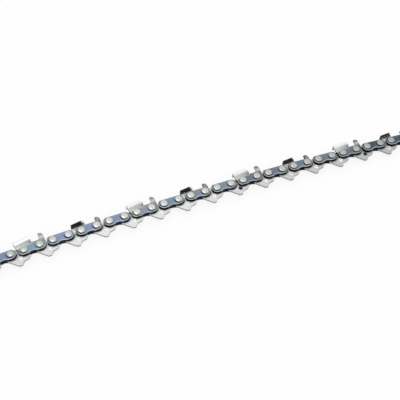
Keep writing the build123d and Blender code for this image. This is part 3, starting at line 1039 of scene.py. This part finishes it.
# %% Finish of the cutters
HAZE_AND_SHADE, CHROME = (0.565, 0.57, 0.54), (0.89, 0.895, 0.9)
ROLL_HIGHLIGHT, PLATED_WALL = (0.5, 0.53, 0.57), (0.6, 0.6, 0.61)
DEEP_SHADE, GROUND = (0.008, 0.008, 0.009), (0.55, 0.555, 0.56)
CUTTER_SHADE = 0.75  # share of a strap's painted shade
DULL_IOR = 1.25  # a weak gloss where the inner side is no metal
cutter_chrome, tree, shader = start_finish("cutter_chrome")
shader.inputs["IOR"].default_value = DULL_IOR
scratches = noise(tree, 2.4, 6, (0.4, 1.2, 1))
tint = ramp(tree, drift(tree), [
    (0.07, (0.19, 0.30, 0.37)), (0.33, (0.28, 0.315, 0.385)),
    (0.6, (0.185, 0.21, 0.27)), (0.87, (0.145, 0.16, 0.17))])
chrome_and_shade = read(tree, "plated")
# chrome levels: the grey band is partly painted shade, the white inner face partly painted light
colour = blend(tree, spread(tree, chrome_and_shade, 0, 0.5, "LINEAR"), greyed(tree, tint), HAZE_AND_SHADE)
colour = blend(tree, spread(tree, chrome_and_shade, 0.5, 1, "LINEAR"), colour, CHROME)
# painted shade on the cutter's foot below each rivet
shaded = arithmetic(tree, "MULTIPLY", shade(tree, STRAP_SPACING / 2, **CRESCENT), CUTTER_SHADE)
colour = blend(tree, shaded, colour, SHADE_AND_PLUG)
# painted highlight on the rolled edges that face down and to the left
colour = blend(tree, read(tree, "rim"), colour, ROLL_HIGHLIGHT)
# sheared wall: dark steel, partly painted shade, paler where chrome covers it
sheared = blend(tree, chrome_and_shade, DARK_WALL, PLATED_WALL)
colour = blend(tree, ramp(tree, read(tree, "round"), SHEARED), colour, sheared)
# painted shade, black, where the values called scale say
colour = blend(tree, read(tree, "scale"), colour, DEEP_SHADE)
colour = blend(tree, read(tree, "ground"), colour, GROUND)
plug(tree, colour, shader.inputs["Base Color"])
plug(tree, arithmetic(tree, "SUBTRACT", 1.0, read(tree, "dull")), shader.inputs["Metallic"])
roughen(tree, shader, scratches, low=0.2, high=0.34)
bump(tree, shader, scratches, strength=0.04, depth=0.00002)
print("finish:", cutter_chrome.name, "with", len(tree.nodes), "nodes")

# %% [markdown]
# Right-hand and left-hand cutters take turns along the chain, with a tie link between them. The left
# one is the right one on the other side. Its walls are coloured dark from where the top plate begins, as
# painted shade.

# %% Cutters in place
FOREMOST_SHADE = 0.87  # share of its painted shade that the foremost cutter keeps
SHADED_WALL_FROM = 7.6  # up the sheet, on the walls of left-hand cutters
# scale on a right-hand cutter is painted shade in the corner and a trace under the top plate; on a
# left-hand one it is all the inner painted shade
right_cutter = {**cutter_blank, "points": fold(flat), "ground": near_front * cutter_blank["round"],
                "scale": np.maximum(TRACE * under, corner), "plated": plated, "dull": dull}
left_cutter = {**other_side(right_cutter), "scale": np.maximum(inner_shade, corner),
               # painted shade: the left-hand cutters' walls are dark from the top plate up
               "plated": np.where(wall & (q > SHADED_WALL_FROM), 0, plated)}
for number in range(2, OUTER_LINKS + 1, 2):
    hand, shape = ("right", right_cutter) if number in RIGHT_HAND else ("left", left_cutter)
    if number == OUTER_LINKS:
        shape = {**shape, "scale": FOREMOST_SHADE * shape["scale"]}
    make_piece(f"{hand}_tooth_{number:02d}", shape, 2 * number - 1, f"link_{number:02d}",
               f"{hand}_cutter_{number:02d}", cutter_chrome)
print("cutters:", OUTER_LINKS // 2, "of", len(flat), "points each")

# %% [markdown]
# The floor is a plain white sheet. To the camera and to reflections it is mostly white by itself, so
# that the paper looks as pale as in a catalogue, and the rest is lit, which keeps a soft shadow.

# %% Floor
HALF_FLOOR = 3  # metres
PAPER, GLOW = 0.9, 0.85  # grey of the lit paper, and the share that is white by itself
corners = [(-HALF_FLOOR, -HALF_FLOOR, 0), (HALF_FLOOR, -HALF_FLOOR, 0),
           (HALF_FLOOR, HALF_FLOOR, 0), (-HALF_FLOOR, HALF_FLOOR, 0)]
floor_mesh = bpy.data.meshes.new("floor")
floor_mesh.from_pydata(corners, [], [(0, 1, 2, 3)])
floor = bpy.data.objects.new("floor", floor_mesh)
bpy.context.scene.collection.objects.link(floor)
paper = bpy.data.materials.new("paper")
paper.use_nodes = True
tree = paper.node_tree
tree.nodes.clear()
lit = tree.nodes.new("ShaderNodeBsdfDiffuse")
lit.inputs["Color"].default_value = (PAPER, PAPER, PAPER, 1)
white = tree.nodes.new("ShaderNodeEmission")
white.inputs["Strength"].default_value = 1.0
ray = tree.nodes.new("ShaderNodeLightPath")
seen = arithmetic(tree, "MAXIMUM", ray.outputs["Is Camera Ray"], ray.outputs["Is Glossy Ray"])
seen = arithmetic(tree, "MAXIMUM", seen, ray.outputs["Is Transmission Ray"])
mix = tree.nodes.new("ShaderNodeMixShader")
out = tree.nodes.new("ShaderNodeOutputMaterial")
tree.links.new(arithmetic(tree, "MULTIPLY", seen, GLOW), mix.inputs["Fac"])
tree.links.new(lit.outputs["BSDF"], mix.inputs[1])
tree.links.new(white.outputs["Emission"], mix.inputs[2])
tree.links.new(mix.outputs["Shader"], out.inputs["Surface"])
floor_mesh.materials.append(paper)
print("floor:", paper.name, 2 * HALF_FLOOR, "m wide")

# %% [markdown]
# Small bright metal is shot in a tent: white cloth all round and one soft box above. A white world
# stands for the tent, at a strength that shows a colour as it is written, and the soft box, a little
# behind and to the left, puts one highlight on each rivet head.

# %% Light
KEY_PLACE, KEY_SIZE, KEY_POWER = (-0.16, 0.2, 0.96), 0.3, 0.75  # metres and watts


def facing(place, aim=(0, 0, 0)):
    """Right, up and back directions of something at a place that looks at an aim, as columns."""
    back = np.subtract(place, aim) / np.linalg.norm(np.subtract(place, aim))
    right = np.cross((0, 0, 1), back)
    right = right / np.linalg.norm(right)
    return np.column_stack([right, np.cross(back, right), back])


world = bpy.data.worlds.new("studio")
bpy.context.scene.world = world
world.use_nodes = True
tent = world.node_tree.nodes["Background"]
tent.inputs["Color"].default_value = (1.0, 1.0, 1.0, 1)
tent.inputs["Strength"].default_value = 1.0
key = bpy.data.lights.new("key", "AREA")
key.shape, key.size, key.energy = "SQUARE", KEY_SIZE, KEY_POWER
holder = bpy.data.objects.new("key", key)
holder.matrix_world = Matrix.Translation(KEY_PLACE) @ Matrix(facing(KEY_PLACE).tolist()).to_4x4()
bpy.context.scene.collection.objects.link(holder)
bpy.context.scene.view_settings.view_transform = "Standard"
print("light:", key.energy, "W soft box in a white tent")

# %% [markdown]
# The photograph looks down on the chain from the front left, with a long lens and a slight tilt. The
# angles below were found by matching the rivets, and the small shift puts the frame where it was cut.

# %% Camera
FRAME = 400  # pixels across the picture
SENSOR = 36  # millimetres across the sensor
AZIMUTH, ELEVATION, ROLL_ANGLE = np.radians([-29.751, 56.0, 8.770])
DISTANCE = 0.58997
AIM = np.array([0, 0.0028587, 0.00395])
FOCAL, SHIFT_X, SHIFT_Y = 878.157, -10.78, -8.886  # in pixels
level = np.cos(ELEVATION)
back = np.array([np.sin(AZIMUTH) * level, -np.cos(AZIMUTH) * level, np.sin(ELEVATION)])
eye = AIM + back * DISTANCE
c, s = np.cos(ROLL_ANGLE), np.sin(ROLL_ANGLE)
turn = facing(eye, AIM) @ np.array([[c, -s, 0], [s, c, 0], [0, 0, 1]])
camera_data = bpy.data.cameras.new("camera")
camera_data.sensor_width = SENSOR
camera_data.lens = FOCAL / FRAME * SENSOR
camera_data.shift_x, camera_data.shift_y = SHIFT_X / FRAME, SHIFT_Y / FRAME
camera_data.clip_start = 0.01
camera = bpy.data.objects.new("camera", camera_data)
camera.matrix_world = Matrix.Translation(eye) @ Matrix(turn.tolist()).to_4x4()
bpy.context.scene.collection.objects.link(camera)
bpy.context.scene.camera = camera
print("camera:", round(camera_data.lens, 1), "mm lens at", DISTANCE, "m")
